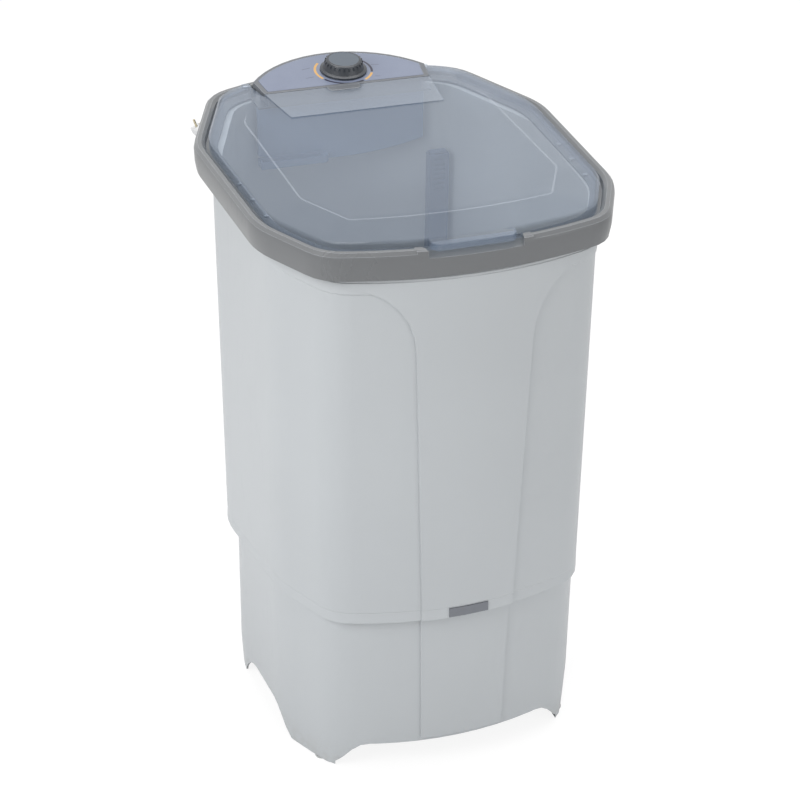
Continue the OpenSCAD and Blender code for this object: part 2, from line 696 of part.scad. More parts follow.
module pulsator_bolt() {
    color([0.75, 0.75, 0.76]) difference() {
        union() {
            rod([0, 0, pulsator_z + 11], 3 - fit, 24);
            translate([0, 0, pulsator_z + 33 + seat]) cylinder(h = 3.5, r = 6.5, $fn = 6);
        }
    }
}

module pulsator_cap() {
    color([0.35, 0.4, 0.48]) difference() {
        union() {
            rod([0, 0, pulsator_z + 33 + seat], 15.8, 7);
            translate([0, 0, pulsator_z + 40]) rotate_extrude($fn = 48)
                polygon([[0, 0], [22, 0], [21, 2], [14, 5], [0, 6]]);
        }
        rod([0, 0, pulsator_z + 30], 8, 9);
    }
}

module bearing_housing() {
    color([0.55, 0.57, 0.6]) difference() {
        union() {
            rod([0, 0, tub_floor - flange_t - seat], 46, flange_t);
            rod([0, 0, pulley_z + pulley_h + 6], hub_r, tub_floor + 5 - pulley_z - pulley_h - 6);
        }
        rod([0, 0, 200], shaft_d / 2 + 3, 200);
        for (a = [45:90:315]) rod([hub_bolt_r * cos(a), hub_bolt_r * sin(a), 300], bolt_r + 0.3,
            60);
    }
}

bush_l = 22;
module shaft_bushes() {
    color([0.72, 0.55, 0.3]) for (z = [pulley_z + pulley_h + 6, tub_floor - 26])
        tube([0, 0, z], shaft_d / 2 + 3 - fit / 2, shaft_d / 2 + fit, bush_l);
}

module shaft_seal() {
    color([0.15, 0.15, 0.16]) tube([0, 0, tub_floor - 3.5], shaft_d / 2 + 3 - fit / 2,
        shaft_d / 2 + fit, 8);
}

module bearing_bolts() {
    color([0.7, 0.7, 0.72]) for (a = [45:90:315])
        translate([hub_bolt_r * cos(a), hub_bolt_r * sin(a), 0]) {
            rod([0, 0, tub_floor - flange_t - 4], bolt_r, flange_t + 8 + 4);
            translate([0, 0, tub_floor - flange_t - 2 * seat - 3.5])
                cylinder(h = 3.5, r = 4.5, $fn = 6);
            translate([0, 0, tub_floor + 4 + seat]) cylinder(h = 2.5, r = 4.5, $fn = 24);
        }
}

// A V pulley about its own axis, from z = 0.
module pulley(r, bore) {
    difference() {
        rotate_extrude($fn = 96) polygon([[0, 0], [r, 0], [r, 2], [r - 8, 6], [r - 8, 10],
            [r, 14], [r, pulley_h], [0, pulley_h]]);
        translate([0, 0, -1]) cylinder(h = pulley_h + 2, r = bore, $fn = 48);
    }
}

module driven_pulley() {
    color([0.3, 0.31, 0.33]) translate([0, 0, pulley_z]) difference() {
        pulley(big_pulley_r, shaft_d / 2 + fit);
        for (a = [0:60:300]) rotate([0, 0, a]) translate([big_pulley_r * 0.55, 0, -1])
            cylinder(h = 20, r = big_pulley_r * 0.17, $fn = 40);
    }
}

module pulley_nut() {
    color([0.75, 0.75, 0.76]) translate([0, 0, pulley_z - seat - 8]) difference() {
        cylinder(h = 8, r = 12, $fn = 6);
        translate([0, 0, -1]) cylinder(h = 12, r = shaft_d / 2 + fit, $fn = 48);
    }
}

module motor_pulley() {
    color([0.6, 0.62, 0.64]) translate([0, belt_run, pulley_z])
        pulley(small_pulley_r, 6 + fit);
}

// Outline of a belt round both pulleys, with radii a and b, run apart along Y.
function belt_path(a, b, run) =
    let (t = asin((a - b) / run))
    concat([for (i = [0:48]) let (u = 180 - t + (180 + 2 * t) * i / 48) a * [cos(u), sin(u)]],
        [for (i = [0:20]) let (u = t + (180 - 2 * t) * i / 20)
            [0, run] + b * [cos(u), sin(u)]]);

module drive_belt() {
    in_r = 8 - run - 0.1;
    color([0.12, 0.12, 0.13]) translate([0, 0, pulley_z + 6.3]) linear_extrude(3.4)
        difference() {
            polygon(belt_path(big_pulley_r - in_r + 5, small_pulley_r - in_r + 5, belt_run));
            polygon(belt_path(big_pulley_r - in_r, small_pulley_r - in_r, belt_run));
        }
}

/* Motor */
motor_foot = 56;
module motor_housing() {
    color([0.35, 0.37, 0.4]) translate([0, belt_run, motor_z]) difference() {
        union() {
            rotate_extrude($fn = 72) polygon([[motor_r - 4, 4], [motor_r, 4],
                [motor_r, motor_h - 8], [motor_r - 10, motor_h], [0, motor_h],
                [0, motor_h - 4], [motor_r - 14, motor_h - 4], [motor_r - 4, motor_h - 12]]);
            rod([0, 0, motor_h - 12], 14, 14);
        }
        rod([0, 0, motor_h - 20], 6 + fit, 40);
        for (a = [0:30:330]) rotate([0, 0, a]) translate([motor_r * 0.62, -3, motor_h - 8])
            cube([14, 6, 12]);
    }
}

module motor_end_plate() {
    color([0.4, 0.42, 0.45]) translate([0, belt_run, motor_z]) difference() {
        union() {
            rod([0, 0, 0], motor_r, 4 - seat);
            for (x = [-1, 1]) translate([x * motor_foot - 14, -motor_foot - 14, 0])
                cube([28, 2 * motor_foot + 28, 4 - seat]);
            rod([0, 0, 0], 14, 14);
        }
        rod([0, 0, 3], 6 + fit, 20);
        for (x = [-1, 1], y = [-1, 1]) rod([x * motor_foot, y * motor_foot, -5], 3.3, 20);
    }
}

module motor_rotor() {
    color([0.72, 0.72, 0.74]) translate([0, belt_run, motor_z]) {
        rod([0, 0, 3.3], 6, pulley_z + pulley_h + 2 - motor_z - 3.3);
        rod([0, 0, 31], motor_r - 36, motor_h - 68);
    }
}

module motor_stator() {
    color([0.6, 0.35, 0.2]) tube([0, belt_run, motor_z + 34], motor_r - 4.2,
        motor_r - 35.5, motor_h - 74);
}

module rubber_mounts() {
    color([0.15, 0.15, 0.15]) for (x = [-1, 1], y = [-1, 1])
        tube([x * motor_foot, belt_run + y * motor_foot, tray_z + thin_wall], 10, 3.3,
            mount_h);
}

module motor_bolts() {
    color([0.75, 0.75, 0.76]) for (x = [-1, 1], y = [-1, 1])
        translate([x * motor_foot, belt_run + y * motor_foot, 0]) {
            rod([0, 0, tray_z - 5], 3, mount_h + thin_wall + 5 + 8);
            translate([0, 0, tray_z - seat - 5]) cylinder(h = 5, r = 6, $fn = 6);
            translate([0, 0, motor_z + 4]) cylinder(h = 4, r = 5.5, $fn = 24);
        }
}

module motor_tray() {
    color([0.65, 0.67, 0.7]) difference() {
        intersection() {
            slab(BASE, wall + 1, tray_z + seat, thin_wall - seat);
            translate([-rim_w / 2, belt_run - 95, 0]) cube([rim_w, 175, 300]);
        }
        for (x = [-1, 1], y = [-1, 1])
            rod([x * motor_foot, belt_run + y * motor_foot, tray_z - 5], 3.3, 20);
        rod([0, belt_run, tray_z - 5], 30, 20);
    }
}

cap_x = -135;
cap_y = 130;
module capacitor() {
    color([0.85, 0.85, 0.86]) {
        rod([cap_x, cap_y, tray_z + thin_wall + seat], 20, 72);
        for (x = [-6, 6]) translate([cap_x + x - 1, cap_y - 3, tray_z + 70]) cube([2, 6, 12]);
    }
}

module capacitor_clip() {
    color([0.3, 0.3, 0.32]) {
        tube([cap_x, cap_y, tray_z + 30], 23, 20.2, 16);
        difference() {
            translate([cap_x - 8, cap_y - 40, tray_z + thin_wall]) cube([16, 19, 4]);
            rod([cap_x, cap_y - 32, tray_z], 2.5, 20);
        }
        translate([cap_x - 8, cap_y - 25, tray_z + thin_wall]) cube([16, 3, 43]);
    }
}

/* Drain */
module drain_grid() {
    color([0.4, 0.43, 0.48]) translate([drain_x, drain_y, tub_floor + 4 + seat]) difference() {
        cylinder(h = 4, r = drain_r + 8, $fn = 64);
        for (a = [0:60:300]) rotate([0, 0, a]) translate([9, 0, -1])
            cylinder(h = 8, r = 3, $fn = 24);
        translate([0, 0, -1]) cylinder(h = 8, r = 3, $fn = 24);
    }
}

elbow_r = 40;
module drain_pipe() {
    color([0.3, 0.3, 0.32]) difference() {
        drain_run(drain_r, 0);
        drain_run(drain_r - 3, 1);
    }
}

// The pipe's path: down from the tub, round a bend and out to the back.
module drain_run(r, more) {
    translate([drain_x, drain_y, drain_z + elbow_r]) cylinder(h = tub_floor + 3.5 - drain_z
        - elbow_r + more, r = r, $fn = 64);
    translate([drain_x, drain_y + elbow_r, drain_z + elbow_r]) rotate([0, 90, 0])
        rotate([0, 0, -90]) rotate_extrude(angle = 90, $fn = 64) translate([elbow_r, 0])
            circle(r = r, $fn = 48);
    translate([drain_x, drain_y + elbow_r, drain_z]) rotate([-90, 0, 0])
        cylinder(h = base_back(drain_x) - 18 - drain_y - elbow_r + more, r = r, $fn = 64);
}

spout_l = 45;
module drain_outlet() {
    y = base_back(drain_x);
    color([0.3, 0.3, 0.32]) translate([drain_x, y, drain_z]) rotate([-90, 0, 0]) {
        tube([0, 0, -18 + seat], drain_r, drain_r - 3, 18 + spout_l);
        tube([0, 0, 10 + seat], drain_r + 8, drain_r - 1, 3);
    }
}

/* Rear cover over the belt and the motor */
cover_w = 190;
cover_h = 150;
cover_z = 95;
cover_screws = [for (x = [-1, 1], z = [0, 1]) [x * (cover_w / 2 - 1), cover_z + 12
    + z * (cover_h - 24)]];
module rear_cover() {
    color([0.7, 0.73, 0.75]) difference() {
        intersection() {
            difference() {
                slab(BASE, -thin_wall - 0.3, cover_z, cover_h);
                slab(BASE, -0.3, cover_z - 1, cover_h + 2);
            }
            translate([-cover_w / 2 - 8, rear_y - 120, 0]) cube([cover_w + 16, 200, 400]);
        }
        for (p = cover_screws) rod_y([p[0], base_back(0) - 30, p[1]], 2, 60);
        for (i = [0:5]) translate([-60, base_back(0) - 20, cover_z + 40 + i * 12])
            cube([120, 40, 5]);
    }
}

module rear_cover_screws() {
    color([0.6, 0.6, 0.62]) for (p = cover_screws) {
        y = base_back(p[0]) + thin_wall + 0.3;
        rod_y([p[0], y - 12, p[1]], 1.5, 14);
        rod_y([p[0], y + 1.3, p[1]], 4, 2);
    }
}

module seam_screws() {
    color([0.6, 0.6, 0.62]) for (p = seam_screw_at) {
        rod([p[0], p[1], seam_z - 3], 1.9, 17);
        rod([p[0], p[1], seam_z - 4 - seat], 3.8, 2);
    }
}

module rim_screws() {
    color([0.6, 0.6, 0.62]) for (p = rim_screw_at) {
        rod([p[0], p[1], cabinet_top - 20], 1.9, ledge_z + 1 - cabinet_top + 20);
        rod([p[0], p[1], ledge_z + seat], 3.8, 2);
    }
}

badge_w = 66;
module badge_plate() {
    color([0.6, 0.62, 0.65]) intersection() {
        band([[CAB_LOW, -panel_proud - 2.4, seam_z + 0.3],
            [CAB_LOW, -panel_proud - 1.1, lip_top],
            [CAB_LOW, 0.45 - panel_proud, lip_top],
            [CAB_LOW, -panel_proud - 0.8, seam_z + 0.3]]);
        translate([strip_x - badge_w / 2, -rim_d / 2, seam_z + 2])
            cube([badge_w, 200, bevel_h - 4]);
    }
}

/* Power cord, hanging in a loop behind the cabinet */
gland_x = -100;
gland_z = rim_top - 70;
gland_wall = cab_back(gland_x);
gland_bore = 7;
cord_r = 3.5;
gland_y = gland_wall + 14.5;
sleeve_l = 28;
plug_at = [-CAB[4] - 35, CAB[5] + 8, rim_top - 81];
plug_tilt = [-0.327, -0.122, 0.937];
cord_route = [[-100, 346, 873], [-100, 346, 848], [-100, 346, 820], [-100, 346, 780], [-100, 346, 735],
    [-101, 346, 690], [-102, 345, 640], [-103, 345, 590], [-105, 344, 540], [-107, 344, 490],
    [-109, 343, 440], [-112, 342, 390], [-115, 341, 340], [-118, 340, 290], [-121, 339, 245],
    [-123, 338, 205], [-124, 337, 178], [-127, 336, 155], [-133, 334, 144], [-142, 331, 138],
    [-153, 327, 136], [-164, 323, 138], [-173, 320, 144], [-179, 318, 155], [-182, 317, 178],
    [-184, 316, 205], [-187, 316, 245], [-190, 315, 290], [-193, 315, 340], [-195, 314, 390],
    [-197, 314, 440], [-199, 313, 490], [-201, 313, 540], [-203, 312, 590], [-204, 312, 640],
    [-205, 312, 690], [-207, 311, 740], [-211, 310, 785], [-217, 308, 822], [-226, 306, 853],
    [-235, 303, 879]];

function smooth(p, i, t) =
    let (n = len(p) - 1, a = p[max(i - 1, 0)], b = p[i], c = p[min(i + 1, n)],
        d = p[min(i + 2, n)])
    0.5 * (2 * b + (c - a) * t + (2 * a - 5 * b + 4 * c - d) * t * t
        + (3 * b - a - 3 * c + d) * t * t * t);
function route(p) = concat([for (i = [0:len(p) - 2]) each [p[i], smooth(p, i, 0.5)]],
    [p[len(p) - 1]]);
function cord_ring(p, i, r, n) =
    let (a = p[max(i - 1, 0)], b = p[min(i + 1, len(p) - 1)], t = unit(b - a),
        u = unit(cross(t, [0.3, 0.9, 0.1])), v = cross(t, u))
    [for (k = [0:n - 1]) p[i] + r * (cos(360 * k / n) * u + sin(360 * k / n) * v)];

module power_cord() {
    p = route(cord_route);
    n = 8;
    last = (len(p) - 1) * n;
    color([0.9, 0.9, 0.9]) polyhedron(
        [for (i = [0:len(p) - 1]) each cord_ring(p, i, cord_r, n)],
        concat([for (i = [0:len(p) - 2]) each ring_faces(i, i + 1, n)],
            [[for (k = [0:n - 1]) k]], [[for (k = [n - 1:-1:0]) last + k]]), convexity = 10);
}

// A hood on the back wall, from which the cord leaves downwards through a tapered sleeve.
module cord_gland() {
    y = gland_y;
    color([0.25, 0.26, 0.28]) difference() {
        union() {
            difference() {
                translate([gland_x - 14, gland_wall - 5, gland_z - 14])
                    cube([28, y + 13 - gland_wall, 26]);
                slab(CAB, -2 - seat, gland_z - 20, 40);
            }
            rod_y([gland_x, gland_wall - wall - 6, gland_z], gland_bore - seat,
                12 + wall);
            translate([gland_x, y, gland_z - 14 - sleeve_l])
                cylinder(h = sleeve_l, r1 = cord_r + 1.5, r2 = cord_r + 4, $fn = 32);
        }
        rod([gland_x, y, gland_z - 15 - sleeve_l], cord_r + 0.2, sleeve_l - 1.5);
    }
}

module at_plug() {
    translate(plug_at) rotate([0, acos(plug_tilt[2]), atan2(plug_tilt[1], plug_tilt[0])])
        children();
}

plug_l = 30;
module plug_body() {
    color([0.92, 0.92, 0.92]) at_plug() {
        cylinder(h = 10, r1 = 4.5, r2 = 5.5, $fn = 32);
        hull() {
            translate([-6, -7, 10]) cube([12, 14, 1]);
            translate([-8, -17, 18]) cube([16, 34, plug_l - 18]);
        }
    }
}

module plug_pins() {
    color([0.3, 0.32, 0.34]) at_plug() for (y = [-9.5, 9.5]) {
        translate([0, y, plug_l]) cylinder(h = 14, r = 2, $fn = 24);
    }
}

module plug_holder() {
    color([0.74, 0.77, 0.79]) difference() {
        translate(plug_at + [-1, 0, 1]) difference() {
            union() {
                cylinder(h = 5, r = 11, $fn = 40);
                rotate([0, 0, -13]) translate([0, -6, 0]) cube([60, 12, 5]);
            }
            translate([0, 0, -1]) cylinder(h = 8, r = 7, $fn = 40);
            rotate([0, 0, 70]) translate([0, -4, -1]) cube([20, 8, 8]);
        }
        slab(CAB, -seat, rim_top - 200, 150);
    }
}

cabinet();
base_cabinet();
tub();
top_rim();
lid();
hinge_pins();
panel_housing();
panel_overlay();
timer_knob();
timer_body();
timer_shaft();
panel_screws();
splash_cover();
soap_tray();
filter_channel();
lint_filter();
pulsator();
pulsator_cap();
pulsator_bolt();
pulsator_shaft();
bearing_housing();
shaft_bushes();
shaft_seal();
bearing_bolts();
driven_pulley();
pulley_nut();
drive_belt();
motor_pulley();
motor_rotor();
motor_stator();
motor_housing();
motor_end_plate();
rubber_mounts();
motor_bolts();
motor_tray();
capacitor();
capacitor_clip();
drain_grid();
drain_pipe();
drain_outlet();
rear_cover();
rear_cover_screws();
foot_pads();
badge_plate();
seam_screws();
rim_screws();
cord_gland();
power_cord();
plug_body();
plug_pins();
plug_holder();
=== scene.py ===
# %% [markdown]
# # A semi-automatic washing machine
# The solids of the machine come from its source file and stand still here as the frame. This
# file gives them their finishes, and models again the parts whose looks need more than a
# plain solid: the see-through lid, the soft-edged covers, the dial, the cord and its plug.
# Everything is in metres, the front faces -Y and the floor is at Z = 0.

# %% Load the frame
import json
import math

import bpy
from mathutils import Matrix, Vector

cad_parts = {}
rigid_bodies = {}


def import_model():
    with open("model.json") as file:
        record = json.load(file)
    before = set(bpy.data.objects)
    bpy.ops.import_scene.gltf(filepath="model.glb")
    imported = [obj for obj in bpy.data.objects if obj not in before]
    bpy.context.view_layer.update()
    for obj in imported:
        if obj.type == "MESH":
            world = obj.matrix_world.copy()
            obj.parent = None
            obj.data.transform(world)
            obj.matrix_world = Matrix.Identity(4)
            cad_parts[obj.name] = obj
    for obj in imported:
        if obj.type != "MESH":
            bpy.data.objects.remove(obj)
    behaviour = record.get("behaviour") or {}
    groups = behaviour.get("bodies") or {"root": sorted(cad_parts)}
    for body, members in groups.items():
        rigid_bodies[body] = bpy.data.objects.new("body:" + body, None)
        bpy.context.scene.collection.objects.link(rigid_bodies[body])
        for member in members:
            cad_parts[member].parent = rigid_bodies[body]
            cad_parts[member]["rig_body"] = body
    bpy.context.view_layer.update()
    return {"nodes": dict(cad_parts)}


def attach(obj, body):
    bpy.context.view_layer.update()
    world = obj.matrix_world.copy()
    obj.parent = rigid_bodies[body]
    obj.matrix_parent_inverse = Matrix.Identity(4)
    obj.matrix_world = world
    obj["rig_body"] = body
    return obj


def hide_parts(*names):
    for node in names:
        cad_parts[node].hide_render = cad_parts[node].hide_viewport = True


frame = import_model()
nodes = frame["nodes"]

# %% [markdown]
# ## The camera
# The picture was taken from above the front left corner with a long lens, so the upright
# edges stay almost parallel. The camera could be aimed with a constraint, but writing its
# three axes directly keeps the small roll of the picture. The shift is under two pixels.

# %% The camera
CAMERA_AT = (-1.0056, -2.9219, 2.2613)
FOCAL, SENSOR = 94.35, 36
SHIFT_X, SHIFT_Y = -1.4 / 800, 0.8 / 800
BACK = Vector((-0.287, -0.820, 0.4955)).normalized()
ACROSS = Vector((0, 0, 1)).cross(BACK).normalized()
ABOVE = BACK.cross(ACROSS)
ROLL = math.radians(0.8)
camera_right = math.cos(ROLL) * ACROSS + math.sin(ROLL) * ABOVE
camera_up = math.cos(ROLL) * ABOVE - math.sin(ROLL) * ACROSS

camera = bpy.data.objects.new("camera", bpy.data.cameras.new("camera"))
bpy.context.scene.collection.objects.link(camera)
camera.data.lens = FOCAL
camera.data.sensor_width = SENSOR
camera.data.shift_x, camera.data.shift_y = SHIFT_X, SHIFT_Y
camera.matrix_world = Matrix.Translation(CAMERA_AT) @ Matrix(
    (camera_right, camera_up, BACK)).transposed().to_4x4()
bpy.context.scene.camera = camera
print("camera:", camera.location[:], "lens:", FOCAL)

# %% [markdown]
# ## The mains cord
# A cord is a fixed length of something limp. This one leaves its gland downwards, makes a
# loop near the floor and comes up to the holder that keeps its plug beside the panel. The
# path could be drawn with a few Bezier handles, but the solid already holds the points, so
# one poly line through the same points, rounded by a spline, lies exactly where it does.

# %% The mains cord
CORD_D = 0.007
CORD_POINTS = [
    (-100, 346, 873), (-100, 346, 848), (-100, 346, 820), (-100, 346, 780), (-100, 346, 735),
    (-101, 346, 690), (-102, 345, 640), (-103, 345, 590), (-105, 344, 540), (-107, 344, 490),
    (-109, 343, 440), (-112, 342, 390), (-115, 341, 340), (-118, 340, 290), (-121, 339, 245),
    (-123, 338, 205), (-124, 337, 178), (-127, 336, 155), (-133, 334, 144), (-142, 331, 138),
    (-153, 327, 136), (-164, 323, 138), (-173, 320, 144), (-179, 318, 155), (-182, 317, 178),
    (-184, 316, 205), (-187, 316, 245), (-190, 315, 290), (-193, 315, 340), (-195, 314, 390),
    (-197, 314, 440), (-199, 313, 490), (-201, 313, 540), (-203, 312, 590), (-204, 312, 640),
    (-205, 312, 690), (-207, 311, 740), (-211, 310, 785), (-217, 308, 822), (-226, 306, 853),
    (-235, 303, 879)]


def rounded_path(points, steps):
    """The points with more of them between, on a curve that passes through each."""
    path = []
    for i in range(len(points) - 1):
        a, b, c, d = (points[max(i - 1, 0)], points[i], points[i + 1],
                      points[min(i + 2, len(points) - 1)])
        for k in range(steps):
            t = k / steps
            path.append(0.5 * (2 * b + (c - a) * t + (2 * a - 5 * b + 4 * c - d) * t * t
                               + (3 * b - a - 3 * c + d) * t ** 3))
    return path + [points[-1]]


cord_path = rounded_path([Vector(p) / 1000 for p in CORD_POINTS], 4)
cord_line = bpy.data.curves.new("mains_cord", "CURVE")
cord_line.dimensions = "3D"
cord_line.bevel_depth = CORD_D / 2
cord_line.bevel_resolution = 4
cord_line.use_fill_caps = True
strand = cord_line.splines.new("POLY")
strand.points.add(len(cord_path) - 1)
for point, at in zip(strand.points, cord_path):
    point.co = (*at, 1)
mains_cord = bpy.data.objects.new("mains_cord", cord_line)
bpy.context.scene.collection.objects.link(mains_cord)
cord_length = sum((b - a).length for a, b in zip(cord_path, cord_path[1:]))
print("cord length:", round(cord_length, 4))

# %% [markdown]
# ## Helpers for modelling
# Every operator works on what is selected, and the loaded solids start out selected. So one
# helper clears the selection, and another selects faces or edges of a mesh by a rule.

# %% Helpers for modelling


def clear_selection():
    """Leaves edit mode and deselects everything."""
    if bpy.context.object and bpy.context.object.mode != "OBJECT":
        bpy.ops.object.mode_set(mode="OBJECT")
    bpy.ops.object.select_all(action="DESELECT")


def work_on(piece):
    """Makes the piece the one that operators act on."""
    clear_selection()
    piece.select_set(True)
    bpy.context.view_layer.objects.active = piece
    return piece


def edit(piece, kind="FACE"):
    """Opens the piece in edit mode with nothing selected."""
    work_on(piece)
    bpy.ops.object.mode_set(mode="EDIT")
    bpy.ops.mesh.select_mode(type=kind)
    bpy.ops.mesh.select_all(action="DESELECT")


def pick(piece, rule, kind="FACE"):
    """Selects, in edit mode, each face or edge that the rule says yes to."""
    bpy.ops.object.mode_set(mode="OBJECT")
    mesh = piece.data
    if kind == "FACE":
        for part in (mesh.vertices, mesh.edges):
            part.foreach_set("select", [False] * len(part))
        for face in mesh.polygons:
            face.select = bool(rule(face.center, face.normal))
    else:
        for part in (mesh.vertices, mesh.polygons):
            part.foreach_set("select", [False] * len(part))
        for edge in mesh.edges:
            a, b = (mesh.vertices[i].co for i in edge.vertices)
            edge.select = bool(rule(a, b))
    bpy.ops.object.mode_set(mode="EDIT")


def apply_modifiers(piece):
    """Turns what the modifiers make into the piece's own mesh."""
    work_on(piece)
    for modifier in list(piece.modifiers):
        bpy.ops.object.modifier_apply(modifier=modifier.name)
    return piece


# %% [markdown]
# ## Soft edges on moulded covers
# A solid from the source has edges as sharp as a knife, and a moulded cover never has: each
# edge ends in a small radius that catches the light. The covers could be drawn again, but
# then they might leave their places. So each is a copy of its solid, with its loose
# triangles merged into whole faces and its edges rounded by a bevel.

# %% Soft edges on moulded covers


def whole_copy(node, name, finishes, flat=0.4):
    """A copy of a solid with whole faces instead of triangles, which then replaces it."""
    piece = bpy.data.objects.new(name, nodes[node].data.copy())
    bpy.context.scene.collection.objects.link(piece)
    piece.data.name = name
    piece.data.materials.clear()
    for finish in finishes:
        piece.data.materials.append(finish)
    for face in piece.data.polygons:
        face.material_index = 0
    edit(piece, "VERT")
    bpy.ops.mesh.select_all(action="SELECT")
    bpy.ops.mesh.remove_doubles(threshold=0.00002)
    bpy.ops.mesh.dissolve_limited(angle_limit=math.radians(flat))
    bpy.ops.object.mode_set(mode="OBJECT")
    if piece.data.has_custom_normals:
        bpy.ops.mesh.customdata_custom_splitnormals_clear()
    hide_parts(node)
    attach(piece, nodes[node]["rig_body"])
    return piece


def round_edges(piece, radius, steps=2, angle=24, smooth=32, edge_highlight_finish=-1):
    """Rounds the edges, whose faces may take a paler finish of their own as a painted
    highlight, and evens out the shading.
    """
    bevel = piece.modifiers.new("edge", "BEVEL")
    bevel.width, bevel.segments, bevel.angle_limit = radius, steps, math.radians(angle)
    bevel.limit_method = "ANGLE"
    # The bevel's faces may take the finish that paints a highlight on the edges.
    bevel.material = edge_highlight_finish
    work_on(piece)
    bpy.ops.object.shade_smooth_by_angle(angle=math.radians(smooth))
    weight = piece.modifiers.new("weight", "WEIGHTED_NORMAL")
    weight.keep_sharp, weight.weight = True, 100
    apply_modifiers(piece)
    print(piece.name, "faces:", len(piece.data.polygons))
    return piece


def soft_copy(node, name, finish, radius, steps=2, angle=24):
    """A copy of a solid with rounded edges, in one finish."""
    return round_edges(whole_copy(node, name, [finish]), radius, steps, angle, angle + 8)


# %% [markdown]
# ## Shader sums in Python
# A finish is built from noise and sums. Wiring each sum by hand hides what it says, so a
# small class wraps an output socket and gives it the usual operators. Every other node comes
# from one method, which sets the node up first and then gives its sockets values or wires.

# %% Shader sums in Python


def rgb(r, g, b):
    """A colour as a screen shows it, 0 to 255, made linear."""
    return tuple(((c / 255) / 12.92 if c / 255 <= 0.04045
                  else ((c / 255 + 0.055) / 1.055) ** 2.4) for c in (r, g, b)) + (1,)


class Wire:
    """An output socket that can be added, multiplied and compared."""

    def __init__(self, finish, socket):
        self.finish, self.socket = finish, socket

    def sum(self, operation, *values):
        return self.finish.node("ShaderNodeMath", {"operation": operation},
                                dict(enumerate(values)))

    def __add__(self, other):
        return self.sum("ADD", self, other)

    def __radd__(self, other):
        return self.sum("ADD", other, self)

    def __sub__(self, other):
        return self.sum("SUBTRACT", self, other)

    def __rsub__(self, other):
        return self.sum("SUBTRACT", other, self)

    def __mul__(self, other):
        return self.sum("MULTIPLY", self, other)

    def __rmul__(self, other):
        return self.sum("MULTIPLY", other, self)

    def above(self, edge, soft):
        """0 below the edge and 1 above it, with a soft step."""
        return self.finish.node(
            "ShaderNodeMapRange", {"interpolation_type": "SMOOTHSTEP"},
            {0: self, 1: edge - soft, 2: edge + soft, 3: 0.0, 4: 1.0})

    def within(self, low, high, soft):
        """1 between the two edges and 0 outside them."""
        return self.above(low, soft) * (1 - self.above(high, soft))


class Finish:
    """One material, or the world, whose nodes all come from node()."""

    def __init__(self, name, world=None):
        self.material = world or bpy.data.materials.new(name)
        self.material.use_nodes = True
        self.tree = self.material.node_tree
        self.tree.nodes.clear()

    def node(self, kind, settings=None, sockets=None, output=0):
        """Adds a node, sets it up, and then gives its sockets values or wires."""
        made = self.tree.nodes.new(kind)
        for key, value in (settings or {}).items():
            setattr(made, key, value)
        for key, value in (sockets or {}).items():
            if isinstance(value, Wire):
                self.tree.links.new(value.socket, made.inputs[key])
            else:
                made.inputs[key].default_value = value
        return Wire(self, made.outputs[output]) if made.outputs else made

    def place(self, turn=(0, 0, 0), scale=(1, 1, 1)):
        """Where a point is on the machine, in metres, turned and stretched for a pattern."""
        at = self.node("ShaderNodeTexCoord", output=3)
        if turn == (0, 0, 0) and scale == (1, 1, 1):
            return at
        return self.node("ShaderNodeMapping", {"vector_type": "POINT"},
                         {0: at, 2: turn, 3: scale})

    def axes(self, at):
        """The three coordinates of a place, each by itself."""
        return [self.node("ShaderNodeSeparateXYZ", None, {0: at}, i) for i in range(3)]

    def noise(self, at, scale, detail=2.0, rough=0.5):
        return self.node("ShaderNodeTexNoise", None, {
            "Vector": at, "Scale": scale, "Detail": detail, "Roughness": rough})

    def mix(self, factor, a, b):
        return self.node("ShaderNodeMix", {"data_type": "RGBA"}, {0: factor, 6: a, 7: b}, 2)

    def bump(self, height, depth, strength=1.0):
        return self.node("ShaderNodeBump", None, {
            "Height": height, "Distance": depth, "Strength": strength})

    def surface(self, **sockets):
        """The surface itself. Socket names are given with _ for each space."""
        return self.node("ShaderNodeBsdfPrincipled", None, {
            key.replace("_", " "): value for key, value in sockets.items()})

    def done(self, shader, end="ShaderNodeOutputMaterial"):
        self.node(end, None, {"Surface": shader})
        return self.material


# %% [markdown]
# ## Moulded plastic
# Nearly all of the machine is injection moulded. Such plastic is never one flat colour: it
# has a fine grain from the tool, slow changes of tone where it cooled, faint rubbed streaks
# that change its sheen, and a little dust low down. On a new machine all of that is slight.
# One helper makes it, and each cover gives it its own colour.

# %% Moulded plastic
DUST = rgb(150, 146, 138)
DUST_TOP = 0.03


def moulded(name, colour, roughness=0.42, grain=0.00003, tone=0.03, rubbed=0.2, dust=0.0,
            grain_size=0.0009):
    """A plastic whose tone, rubbed streaks and dust each have a strength of 0 to 1."""
    finish = Finish(name)
    at = finish.place()
    slow = finish.noise(at, 3.2, 1.0)
    fine = finish.noise(at, 1 / grain_size, 2.0)
    streak = finish.noise(finish.place(turn=(0.4, 0.2, 0.9), scale=(30, 160, 22)), 1.0, 3.0)
    wave = finish.noise(at, 24, 1.0)
    marks = streak.above(0.64, 0.08) * rubbed
    dark = tuple(c * (1 - 2 * tone) for c in colour[:3]) + (1,)
    light = tuple(min(1, c * (1 + tone)) for c in colour[:3]) + (1,)
    shade = finish.mix(slow.above(0.5, 0.3), dark, light)
    shade = finish.mix(marks * 0.2, shade, light)
    shade = finish.mix(fine.above(0.62, 0.1) * 0.4, shade, dark)
    if dust:
        z = finish.axes(at)[2]
        patch = finish.noise(at, 90, 3.0).above(0.5, 0.15)
        shade = finish.mix((1 - z.above(DUST_TOP, DUST_TOP)) * patch * dust, shade, DUST)
    height = fine + wave * 4.0
    return finish.done(finish.surface(
        Base_Color=shade, Roughness=roughness + marks * 0.25 + (slow - 0.5) * 0.05,
        Normal=finish.bump(height, grain)))


